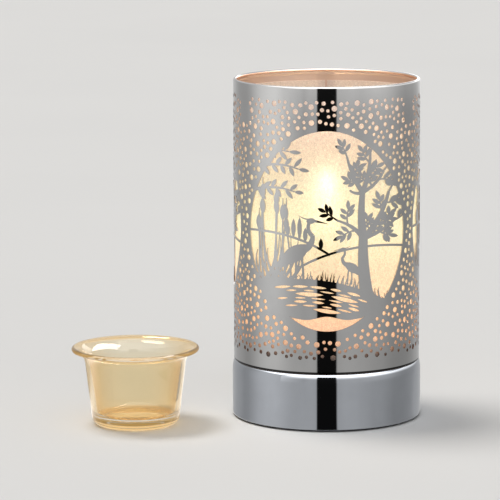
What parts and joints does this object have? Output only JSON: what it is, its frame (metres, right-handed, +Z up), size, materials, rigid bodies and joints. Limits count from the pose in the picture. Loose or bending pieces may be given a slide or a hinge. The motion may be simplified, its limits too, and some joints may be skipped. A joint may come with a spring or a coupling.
{
  "type": "electric wax warmer",
  "caption": "Cylindrical table wax warmer: chromed round base, pierced metal shade with frosted liner, capsule bulb on a post, and a flared glass dish that hangs in a ring inside the shade.",
  "frame": {"origin": "on the lamp's axis, at the resting plane under the foot ring", "axes": "+Z up along the lamp's axis, -Y to the front, +Y to the cord inlet at the back, the glass dish stands towards -X"},
  "size_m": [0.1868, 0.1148, 0.1827],
  "materials": {
    "foot_rubber": "matte",
    "cover_paint": "satin black",
    "plated_steel": "zinc plated",
    "base_chrome": "polished chrome",
    "black_plastic": "moulded",
    "board_green": "solder mask",
    "white_nylon": "moulded",
    "terminal_plastic": "moulded",
    "capacitor_yellow": "moulded",
    "capacitor_black": "sleeved",
    "brass": "bare",
    "red_insulation": "extruded",
    "white_insulation": "silicone",
    "tray_steel": "drawn",
    "holder_ceramic": "glazed",
    "bulb_glass": "clear",
    "tungsten": "glowing wire",
    "shade_nickel": "polished, lightly smoked",
    "frosted_liner": "frosted, grained",
    "dish_glass": "amber tinted"
  },
  "bodies": {
    "base": {"foot_ring": "foot_rubber", "bottom_cover": "cover_paint", "cover_pillars": "plated_steel", "cover_screws": "plated_steel", "base_shell": "base_chrome", "cord_gland": "black_plastic", "gland_nut": "black_plastic", "touch_board": "board_green", "board_spacers": "white_nylon", "board_screws": "plated_steel", "terminal_block": "terminal_plastic", "film_capacitor": "capacitor_yellow", "electrolytic_capacitor": "capacitor_black", "touch_chip": "black_plastic", "triac": "black_plastic", "touch_stud": "plated_steel", "touch_lug": "brass", "touch_nut": "plated_steel", "touch_lead": "red_insulation", "shade_collar": "tray_steel", "lamp_post": "plated_steel", "post_nuts": "plated_steel", "holder_bracket": "plated_steel", "holder_screws": "plated_steel", "lamp_holder": "holder_ceramic", "holder_contacts": "brass", "lamp_leads": "white_insulation"},
    "dish": {"glass_dish": "dish_glass"},
    "shade": {"shade_sheet": "shade_nickel", "diffuser_liner": "frosted_liner", "dish_ring": "tray_steel"},
    "bulb": {"bulb_glass": "bulb_glass", "bulb_pinch": "bulb_glass", "bulb_pins": "plated_steel", "filament": "tungsten"}
  },
  "joints": [
    {"name": "shade_lift", "type": "slide", "parent": "base", "child": "shade", "axis": [0, 0, 1], "range_m": [0, 0.115]},
    {"name": "bulb_pull", "type": "slide", "parent": "base", "child": "bulb", "axis": [0, 0, 1], "range_m": [0, 0.03]},
    {"name": "dish_lift", "type": "slide", "parent": "base", "child": "dish", "axis": [0, 0, 1], "range_m": [0, 0.15]}
  ]
}
